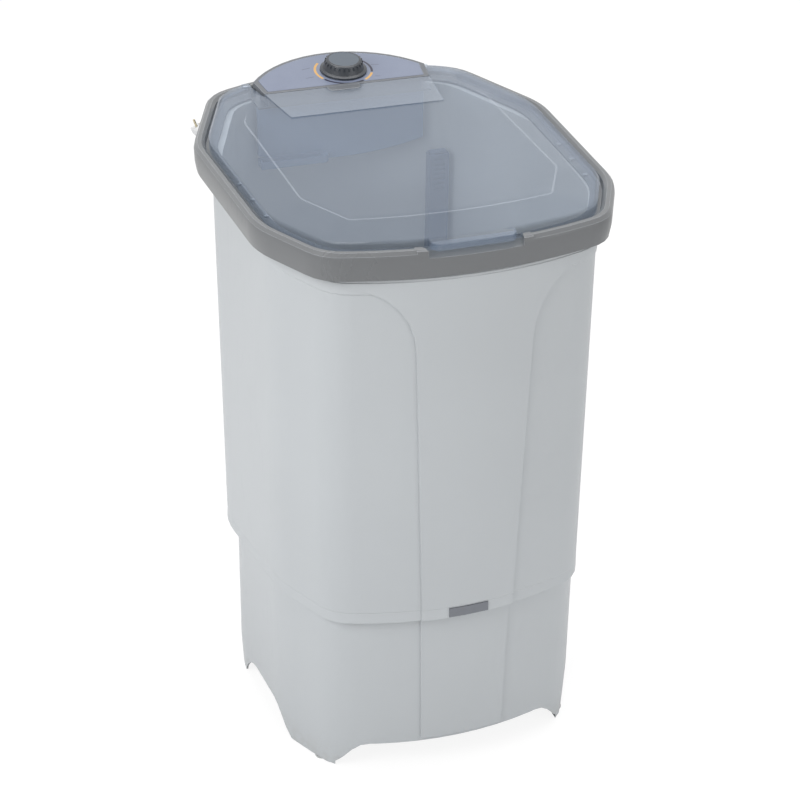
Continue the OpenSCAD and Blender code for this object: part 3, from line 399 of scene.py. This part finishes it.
white_plastic = moulded("white_plastic", rgb(178, 182, 185), 0.34, tone=0.012, dust=0.2)
grey_plastic = moulded("grey_plastic", rgb(106, 108, 110), 0.28, tone=0.02)
frame_plastic = moulded("frame_plastic", rgb(96, 99, 104), 0.40, tone=0.02)
# A paler, glossier grey that paints a highlight on the rounded edges of the rim, the panel's
# frame and the latch's tongue.
painted_edge_highlight = moulded("painted_edge_highlight", rgb(170, 174, 180), 0.26, tone=0.02)
tub_plastic = moulded("tub_plastic", rgb(206, 205, 202), 0.34, rubbed=0.4)
blue_plastic = moulded("blue_plastic", rgb(132, 148, 170), 0.36, rubbed=0.3)
pulsator_plastic = moulded("pulsator_plastic", rgb(206, 210, 216), 0.32, rubbed=0.5)
knob_plastic = moulded("knob_plastic", rgb(46, 50, 56), 0.34, tone=0.04)
# A paler grey for the dial's top: a painted highlight where the light falls on it.
knob_top_painted_light = moulded("knob_top_painted_light", rgb(78, 87, 97), 0.32, tone=0.03)
dark_plastic = moulded("dark_plastic", rgb(52, 54, 58), 0.45, tone=0.06, dust=0.2)
cream_plastic = moulded("cream_plastic", rgb(222, 219, 205), 0.45, tone=0.04)
print("plastics:", len(bpy.data.materials))

# %% [markdown]
# ## Metals, rubber and lacquer
# Turned steel shows rings round its own axis, cast metal a sandy skin, sheet a lacquer with
# an orange peel. They could share one grey, but their highlights are what tells them apart,
# so each gets the bump and the roughness that its making leaves.

# %% Metals, rubber and lacquer
STAIN = rgb(112, 96, 82)
CHIP = rgb(92, 84, 78)


def darker(colour, share):
    return tuple(c * share for c in colour[:3]) + (1,)


def metal(name, colour, roughness=0.3, scratch=(9, 9, 900), pits=0.0, stain=0.25,
          depth=0.00002):
    """A metal with scratches along the axis where the scale is low, pits and stains."""
    finish = Finish(name)
    at = finish.place()
    lines = finish.noise(finish.place(scale=scratch), 1.0, 2.0)
    cloud = finish.noise(at, 55, 4.0)
    sand = finish.noise(at, 1100, 2.0)
    spot = cloud.above(0.60, 0.12) * stain
    shade = finish.mix(spot, finish.mix(lines * 0.5, colour, darker(colour, 0.72)), STAIN)
    return finish.done(finish.surface(
        Base_Color=shade, Metallic=1 - spot * 0.6,
        Roughness=roughness + lines * 0.12 + spot * 0.35,
        Normal=finish.bump(lines * 0.6 + sand * (0.3 + 3.0 * pits), depth)))


def lacquered(name, colour, peel=0.00005):
    """Sheet metal under lacquer, with an orange peel and a few small chips."""
    finish = Finish(name)
    at = finish.place()
    skin = finish.noise(at, 260, 2.0)
    cloud = finish.noise(at, 9, 3.0)
    chip = finish.noise(at, 420, 3.0).above(0.70, 0.02) * finish.noise(at, 21).above(0.55, 0.1)
    shade = finish.mix(cloud.above(0.5, 0.25), colour, darker(colour, 0.86))
    return finish.done(finish.surface(
        Base_Color=finish.mix(chip, shade, CHIP), Roughness=0.38 + chip * 0.3,
        Normal=finish.bump(skin - chip * 2.0, peel)))


def rubbery(name, colour):
    """Dull rubber with a faint pale bloom."""
    finish = Finish(name)
    at = finish.place()
    fine = finish.noise(at, 1500, 2.0)
    bloom = finish.noise(at, 42, 4.0).above(0.55, 0.2)
    pale = tuple(c + 0.05 for c in colour[:3]) + (1,)
    return finish.done(finish.surface(
        Base_Color=finish.mix(bloom * 0.5, colour, pale), Roughness=0.72 - bloom * 0.1,
        Normal=finish.bump(fine, 0.00006)))


steel = metal("steel", rgb(188, 190, 194), 0.26)
cast_metal = metal("cast_metal", rgb(150, 153, 158), 0.46, (60, 60, 60), 0.8, 0.15, 0.00006)
bronze = metal("bronze", rgb(196, 150, 92), 0.34, (200, 200, 700), 0.3, 0.3)
plug_metal = metal("plug_metal", rgb(206, 196, 170), 0.24, (40, 40, 600), 0.0, 0.12)
badge_metal = metal("badge_metal", rgb(128, 131, 137), 0.36, (14, 300, 1600), 0.0, 0.05)
painted_sheet = lacquered("painted_sheet", rgb(196, 200, 204))
motor_lacquer = lacquered("motor_lacquer", rgb(70, 74, 80))
black_rubber = rubbery("black_rubber", rgb(28, 28, 30))
pale_rubber = rubbery("pale_rubber", rgb(168, 170, 170))
print("materials:", len(bpy.data.materials))

# %% [markdown]
# ## Copper winding
# The stator's slots are packed with lacquered copper wire. Modelling each turn would take
# thousands of loops inside a closed motor, so waves along the axis stand for the wires.

# %% Copper winding
winding = Finish("winding")
wire_rows = winding.node("ShaderNodeTexWave", {"bands_direction": "Z"}, {
    "Vector": winding.place(), "Scale": 260.0, "Distortion": 1.5, "Detail": 2.0}, 1)
copper_winding = winding.done(winding.surface(
    Base_Color=winding.mix(wire_rows, rgb(120, 58, 30), rgb(196, 112, 62)),
    Metallic=0.6, Roughness=0.35 + wire_rows * 0.2, Normal=winding.bump(wire_rows, 0.0003)))
print("winding:", copper_winding.name, "nodes:", len(winding.tree.nodes))

# %% [markdown]
# ## Smoky see-through plastic
# The lid is a thin moulding of tinted plastic: it lets the tub show, paler where it is seen
# at a slant, and it carries a sheen. Real refraction through a thin wall shifts nothing that
# matters and makes noise, so the wall lets light straight through in part, and more of its
# own colour shows towards the edges by the angle of view. The sheen lies only on faces seen
# from outside: from inside the wall the same rule would turn them into mirrors.

# %% Smoky see-through plastic


def see_through(name, colour, tint, cover, edge):
    """Cover is the share of its own colour seen straight on, and edge what a slant adds."""
    finish = Finish(name)
    at = finish.place()
    slant = finish.node("ShaderNodeLayerWeight", None, {"Blend": 0.35}, 1)
    inner = finish.node("ShaderNodeNewGeometry", output="Backfacing")
    gloss = finish.node("ShaderNodeLayerWeight", None, {"Blend": 0.18}, 0) * (1 - inner)
    cloud = finish.noise(at, 5, 2.0)
    flow = finish.noise(finish.place(scale=(3, 40, 3)), 1.0, 2.0)
    skin = finish.bump(flow * 2.0 + cloud * 5.0, 0.00005)
    body = finish.surface(
        Base_Color=finish.mix(cloud.above(0.5, 0.3) * 0.3, colour,
                              tuple(min(1, c * 1.2) for c in colour[:3]) + (1,)),
        Roughness=0.4, Normal=skin)
    sheen = finish.surface(Base_Color=rgb(250, 251, 253), Metallic=1.0,
                           Roughness=0.16 + (flow - 0.5) * 0.04, Normal=skin)
    clear = finish.node("ShaderNodeBsdfTransparent", None, {0: tint})
    share = cover + slant * edge + (cloud - 0.5) * 0.02
    haze = finish.node("ShaderNodeMixShader", None, {0: share, 1: clear, 2: body})
    return finish.done(finish.node("ShaderNodeMixShader", None, {0: gloss, 1: haze, 2: sheen}))


lid_plastic = see_through("lid_plastic", rgb(154, 166, 184), rgb(242, 245, 248), 0.14, 0.10)
lid_frost = see_through("lid_frost", rgb(160, 170, 184), rgb(244, 247, 250), 0.30, 0.16)
# A paler, more opaque finish for the lid's rounded edges: a painted highlight.
lid_painted_highlight = see_through("lid_painted_highlight", rgb(190, 199, 212), rgb(240, 243, 247), 0.22, 0.20)
print("lid finishes:", [finish.name for finish in (lid_plastic, lid_frost, lid_painted_highlight)])

# %% [markdown]
# ## The printed film on the panel
# The panel carries a pale lavender film with a ring round the timer: two washing ranges in
# amber and the others in navy. The arcs could be thin pieces of mesh, but print has no
# thickness, so a mask by radius and angle round the timer colours the film itself.

# %% The printed film on the panel
TIMER_AT = (0.009, 0.2997)
film = Finish("panel_print")
film_at = film.place()
film_x, film_y = film.axes(film_at)[:2]
dial_x, dial_y = film_x - TIMER_AT[0], film_y - TIMER_AT[1]
dial_r = film.node("ShaderNodeMath", {"operation": "SQRT"}, {
    0: dial_x * dial_x + dial_y * dial_y})
dial_turn = film.node("ShaderNodeMath", {"operation": "ARCTAN2"}, {
    0: dial_y, 1: dial_x}) * (180 / math.pi)


def arc(turn_low, turn_high, r_low=0.0465, r_high=0.0505):
    """A printed arc of the ring, between two angles round the timer."""
    return dial_r.within(r_low, r_high, 0.0004) * dial_turn.within(turn_low, turn_high, 0.5)


def tick(x_low, x_high, y, slope):
    """A short printed line that points at the ring."""
    off = film_y - y - (film_x - x_low) * slope
    return film_x.within(x_low, x_high, 0.0003) * off.within(-0.0007, 0.0007, 0.0003)


amber = (arc(137, 180) + arc(-180, -152)) + arc(-57, -24)
navy = (arc(-148, -93) + arc(-87, -62)) + arc(-20, 38)
TICKS = ((-0.060, -0.044, 0.3155, 0.25), (-0.062, -0.047, 0.2845, 0.13),
         (-0.031, -0.020, 0.2495, 0.10), (0.061, 0.075, 0.3085, -0.2),
         (0.055, 0.064, 0.2665, -0.2))
ticks = tick(*TICKS[0])
for place in TICKS[1:]:
    ticks = ticks + tick(*place)
film_tone = film.noise(film_at, 12, 3.0)
film_grain = film.noise(film_at, 2600, 2.0)
film_fleck = film.noise(film_at, 700, 2.0).above(0.58, 0.06)
film_base = film.mix(film_tone.above(0.5, 0.3), rgb(106, 114, 134), rgb(114, 122, 141))
film_base = film.mix(film_grain.above(0.55, 0.1) * 0.10, film_base, rgb(148, 156, 174))
film_base = film.mix(film_fleck * 0.16, film_base, rgb(84, 90, 112))
film_colour = film.mix(amber, film_base, rgb(196, 150, 78))
film_colour = film.mix(navy, film_colour, rgb(10, 8, 40))
film_colour = film.mix(ticks * 0.8, film_colour, rgb(60, 62, 80))
panel_print = film.done(film.surface(
    Base_Color=film_colour, Roughness=0.34 + film_grain * 0.14,
    Normal=film.bump(film_grain + film_tone * 4.0, 0.00002), Coat_Weight=0.25,
    Coat_Roughness=0.2))
print("printed lines round the dial:", len(TICKS), "nodes:", len(film.tree.nodes))

# %% [markdown]
# ## The lint filter's slots
# The filter's column has rows of wavy slots near its top, through which water runs into the
# bag behind. At this size they are shallow, so a wave along the column dents it and paints
# the shade inside the slots as a darker colour.

# %% The lint filter's slots
WAVE_Z, WAVE_STEP, WAVE_RISE, SLOT_HALF, SLOT_ROWS = 0.868, 0.016, 0.0035, 0.0016, 3
sieve = Finish("filter_plastic")
sieve_at = sieve.place()
sieve_x, sieve_z = sieve.axes(sieve_at)[::2]
swing = (sieve_x * 420).sum("SINE", sieve_x * 420) * WAVE_RISE
slot_dents_and_shade = (sieve_z - WAVE_Z - swing).within(-SLOT_HALF, SLOT_HALF, 0.0006)
for i in range(1, SLOT_ROWS):
    height = sieve_z - (WAVE_Z + i * WAVE_STEP) - swing
    slot_dents_and_shade = slot_dents_and_shade + height.within(-SLOT_HALF, SLOT_HALF, 0.0006)
sieve_tone = sieve.noise(sieve_at, 14, 3.0)
sieve_grain = sieve.noise(sieve_at, 900, 2.0)
# Inside the slots the colour darkens to a painted shade, and the bump dents them.
filter_plastic = sieve.done(sieve.surface(
    Base_Color=sieve.mix(slot_dents_and_shade, sieve.mix(sieve_tone, rgb(92, 104, 122), rgb(104, 116, 134)),
                         rgb(58, 66, 80)),
    Roughness=0.36 + sieve_grain * 0.1,
    Normal=sieve.bump(sieve_grain * 0.1 - slot_dents_and_shade, 0.0006)))
print("rows of slots:", SLOT_ROWS)

# %% [markdown]
# ## The flex of the cord
# The sheath is soft white vinyl. It shows hardly any pattern, only a faint flow along it and
# a little dirt from hanging, so its colour changes slowly and its skin is nearly smooth.

# %% The flex of the cord
cord_white = moulded("cord_white", rgb(206, 207, 208), 0.48, tone=0.03, dust=0.1,
                     grain_size=0.0012)
print("flex:", cord_white.name)

# %% [markdown]
# ## The covers
# These are the mouldings that make the outside: the body, its base, the grey rim, the panel's
# frame and the rear cover. Their shapes are right already, so each is a soft-edged copy. The
# rim's and the frame's rounded edges are painted paler, as a highlight.

# %% The covers
body_shell = soft_copy("cabinet", "body_shell", white_plastic, 0.0012)
base_shell = soft_copy("base_cabinet", "base_shell", white_plastic, 0.0010)
rear_hatch = soft_copy("rear_cover", "rear_hatch", dark_plastic, 0.0006)
# The rim's and the frame's rounded edges take the painted highlight.
rim_moulding = round_edges(
    whole_copy("top_rim", "rim_moulding", [grey_plastic, painted_edge_highlight]),
    0.0008, 2, 24, 32, 1)
panel_frame = round_edges(
    whole_copy("panel_housing", "panel_frame", [frame_plastic, painted_edge_highlight]),
    0.0008, 2, 24, 32, 1)

# %% [markdown]
# ## Inside the tub
# Through the lid and with it open, the tub, the splash cover, the soap tray, the filter and
# the pulsator are seen close to. They are mouldings as well, so they get the same soft edges.

# %% Inside the tub
INNER = (("splash_cover", "splash_guard", "blue_plastic", blue_plastic, 0.0012),
         ("soap_tray", "soap_drawer", "blue_plastic", blue_plastic, 0.0006),
         ("filter_channel", "filter_column", "blue_plastic", filter_plastic, 0.0008),
         ("lint_filter", "filter_face", "blue_plastic", filter_plastic, 0.0005),
         ("pulsator", "pulsator_disc", "pulsator_plastic", pulsator_plastic, 0.0012),
         ("pulsator_cap", "pulsator_hub", "pulsator_plastic", pulsator_plastic, 0.0008),
         ("tub", "wash_tub", "tub_plastic", tub_plastic, 0.0010))
for node, name, slot, finish, radius in INNER:
    soft_copy(node, name, finish, radius)

# %% [markdown]
# ## The dial
# The dial is dark, and its slightly dished top is painted paler, as a highlight where the light
# falls on it. It could be turned from a profile again, but the solid has its ribs already, so a
# copy is softened, and its top face is let in a little and dished. The panel leans, and the
# dial with it, so the top face is found by its place over the shaft and not by its height
# alone.

# %% The dial
DIAL_LEAN, DIAL_MIDDLE = 0.010, 0.012
DIAL_RIM, DIAL_STEP, DIAL_DISH = 0.0022, 0.003, 0.0006
dial = whole_copy("timer_knob", "dial", [knob_plastic, knob_top_painted_light])
dial_top = max(v.co.z for v in dial.data.vertices)
edit(dial)
pick(dial, lambda centre, normal: normal.z > 0.9 and centre.z > dial_top - DIAL_LEAN
     and math.hypot(centre.x - TIMER_AT[0], centre.y - TIMER_AT[1]) < DIAL_MIDDLE)
bpy.ops.mesh.inset(thickness=DIAL_RIM, depth=0)
# The top face takes the paler finish of the painted highlight.
bpy.context.object.active_material_index = 1
bpy.ops.object.material_slot_assign()
bpy.ops.mesh.inset(thickness=DIAL_STEP, depth=-DIAL_DISH)
bpy.ops.object.mode_set(mode="OBJECT")
round_edges(dial, 0.0004, 2, 30, 40)

# %% [markdown]
# ## The lid
# The lid is one thin moulding with a raised middle. Its ridge is crisp but never sharp. The
# copy's edges round the middle are picked by their height and given their own bevel before
# the general one, because they are too flat for a rule by angle to find. All the rounding
# takes a paler, more opaque finish, a painted highlight for the light that gathers in the edges
# of clear plastic. The apron before the panel is thicker and shows frosted, so its top face has
# a third one.

# %% The lid
RIDGE_Z = (0.9734, 0.9742)
APRON_Z = 0.9752
lid_shell = whole_copy("lid", "lid_shell", [lid_plastic, lid_painted_highlight, lid_frost],
                       0.3)
edit(lid_shell)
pick(lid_shell, lambda centre, normal: centre.z > APRON_Z and normal.z > 0.9)
lid_shell.active_material_index = 2
bpy.ops.object.material_slot_assign()
bpy.ops.object.mode_set(mode="OBJECT")
edit(lid_shell, "EDGE")
pick(lid_shell, lambda a, b: RIDGE_Z[0] < a.z < RIDGE_Z[1] and RIDGE_Z[0] < b.z < RIDGE_Z[1]
     and a.y < 0.19 and b.y < 0.19 and abs(a.z - b.z) < 0.0001, "EDGE")
# The ridge's rounding takes the painted highlight.
bpy.ops.mesh.bevel(offset=0.0014, segments=2, affect="EDGES", clamp_overlap=True, material=1)
bpy.ops.object.mode_set(mode="OBJECT")
round_edges(lid_shell, 0.0007, 2, 32, 40, 1)

# %% [markdown]
# ## The latch's tongue
# In the middle of the lid, under the panel's edge, a thin grey tongue holds the lid down. It
# is a flat moulding with rounded front corners, made by drawing in the front of a thin box.

# %% The latch's tongue
TONGUE_X, TONGUE_W, TONGUE_R = -0.009, 0.056, 0.012
TONGUE_Y, TONGUE_Z = (0.2265, 0.2440), (0.9761, 0.9773)
clear_selection()
bpy.ops.mesh.primitive_cube_add(size=1, location=(
    TONGUE_X, sum(TONGUE_Y) / 2, sum(TONGUE_Z) / 2))
tongue = bpy.context.object
tongue.dimensions = (TONGUE_W, TONGUE_Y[1] - TONGUE_Y[0], TONGUE_Z[1] - TONGUE_Z[0])
bpy.ops.object.transform_apply(location=True, rotation=True, scale=True)
tongue.name = tongue.data.name = "latch_tongue"
tongue.data.materials.append(frame_plastic)
tongue.data.materials.append(painted_edge_highlight)
edit(tongue, "EDGE")
pick(tongue, lambda a, b: abs(a.x - b.x) < 1e-5 and abs(a.y - b.y) < 1e-5
     and a.y < sum(TONGUE_Y) / 2, "EDGE")
bpy.ops.mesh.bevel(offset=TONGUE_R, segments=6, affect="EDGES", profile=0.6)
bpy.ops.object.mode_set(mode="OBJECT")
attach(tongue, "lid")
# The tongue's rounded edges take the painted highlight.
round_edges(tongue, 0.0003, 2, 30, 40, 1)

# %% [markdown]
# ## The plug and the cord's ends
# The sheath ends in a moulded plug. The cord's own curve was made first, and both go with it.

# %% The plug and the cord's ends
mains_cord.data.materials.append(cord_white)
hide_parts("power_cord")
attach(mains_cord, "cabinet")
plug_grip = soft_copy("plug_body", "plug_grip", cord_white, 0.0016, 3)

# %% [markdown]
# ## Finishes of the other parts
# What is left keeps its solid, because its shape is plain and right. Its slots take a finish
# from the table, so that nothing inside the machine is left bare either.

# %% Finishes of the other parts
FINISHES = {
    "hinge_pins": steel, "panel_overlay": panel_print,
    "timer_body": cream_plastic, "timer_shaft": steel, "panel_screws": steel,
    "pulsator_bolt": steel, "pulsator_shaft": steel, "bearing_housing": cast_metal,
    "shaft_bushes": bronze, "shaft_seal": black_rubber, "bearing_bolts": steel,
    "driven_pulley": dark_plastic, "pulley_nut": steel, "drive_belt": black_rubber,
    "motor_pulley": cast_metal, "motor_rotor": steel, "motor_stator": copper_winding,
    "motor_housing": motor_lacquer, "motor_end_plate": motor_lacquer,
    "rubber_mounts": black_rubber, "motor_bolts": steel, "motor_tray": painted_sheet,
    "capacitor": cream_plastic, "capacitor_clip": dark_plastic, "drain_grid": dark_plastic,
    "drain_pipe": dark_plastic, "drain_outlet": dark_plastic, "rear_cover_screws": steel,
    "foot_pads": pale_rubber, "badge_plate": badge_metal, "seam_screws": steel,
    "rim_screws": steel, "cord_gland": dark_plastic, "plug_pins": plug_metal,
    "plug_holder": white_plastic}
for node, finish in FINISHES.items():
    mesh = nodes[node].data
    if not mesh.materials:
        mesh.materials.append(finish)
    for i in range(len(mesh.materials)):
        mesh.materials[i] = finish
print("finished solids:", len(FINISHES))

# %% [markdown]
# ## Floor and light
# A pale floor holds the shadow, and three soft lamps light the machine at a plain level. The
# white behind it comes from a white that only the camera and reflections see, so that no
# lamp has to be turned up for it.

# %% Floor and light
DAYLIGHT = 0.62
world = bpy.data.worlds.new("studio")
bpy.context.scene.world = world
sky = Finish("studio", world)
seen = sky.node("ShaderNodeLightPath", output="Is Camera Ray")
for ray in ("Is Transmission Ray", "Is Glossy Ray"):
    seen = seen.sum("MAXIMUM", seen, sky.node("ShaderNodeLightPath", output=ray))
sky.done(sky.node("ShaderNodeBackground", None, {
    "Color": (1, 1, 1, 1), "Strength": seen * (1 - DAYLIGHT) + DAYLIGHT}),
    "ShaderNodeOutputWorld")

clear_selection()
bpy.ops.mesh.primitive_plane_add(size=14, location=(0, 0, 0))
floor = bpy.context.object
floor.name = "floor"
ground = Finish("pale_floor")
ground_white = ground.node("ShaderNodeEmission", None, {"Color": (1, 1, 1, 1), "Strength": 1.1})
ground_body = ground.surface(Base_Color=rgb(238, 238, 238), Roughness=0.7)
camera_ray = ground.node("ShaderNodeLightPath", output=0)
floor.data.materials.append(ground.done(ground.node(
    "ShaderNodeMixShader", None, {0: camera_ray * 0.80, 1: ground_body, 2: ground_white})))


def soft_lamp(name, at, aim, size, power):
    """A square lamp with its width in metres and its power in watts, turned to a point."""
    lamp = bpy.data.objects.new(name, bpy.data.lights.new(name, "AREA"))
    lamp.data.size, lamp.data.energy = size, power
    lamp.location = at
    lamp.rotation_mode = "QUATERNION"
    lamp.rotation_quaternion = (Vector(aim) - Vector(at)).to_track_quat("-Z", "Y")
    bpy.context.scene.collection.objects.link(lamp)


soft_lamp("key_lamp", (-2.6, -1.2, 2.6), (0, 0, 0.6), 1.6, 60)
soft_lamp("top_lamp", (0.2, 0.6, 3.4), (0, 0, 0.9), 2.0, 45)
soft_lamp("fill_lamp", (1.8, -2.6, 1.5), (0, 0, 0.5), 2.0, 18)
print("lamps:", len(bpy.data.lights), "daylight:", DAYLIGHT)
bpy.context.scene.view_settings.view_transform = "Standard"

# %% [markdown]
# ## The end
# The selection is cleared, so that nothing is left selected.

# %% The end
clear_selection()
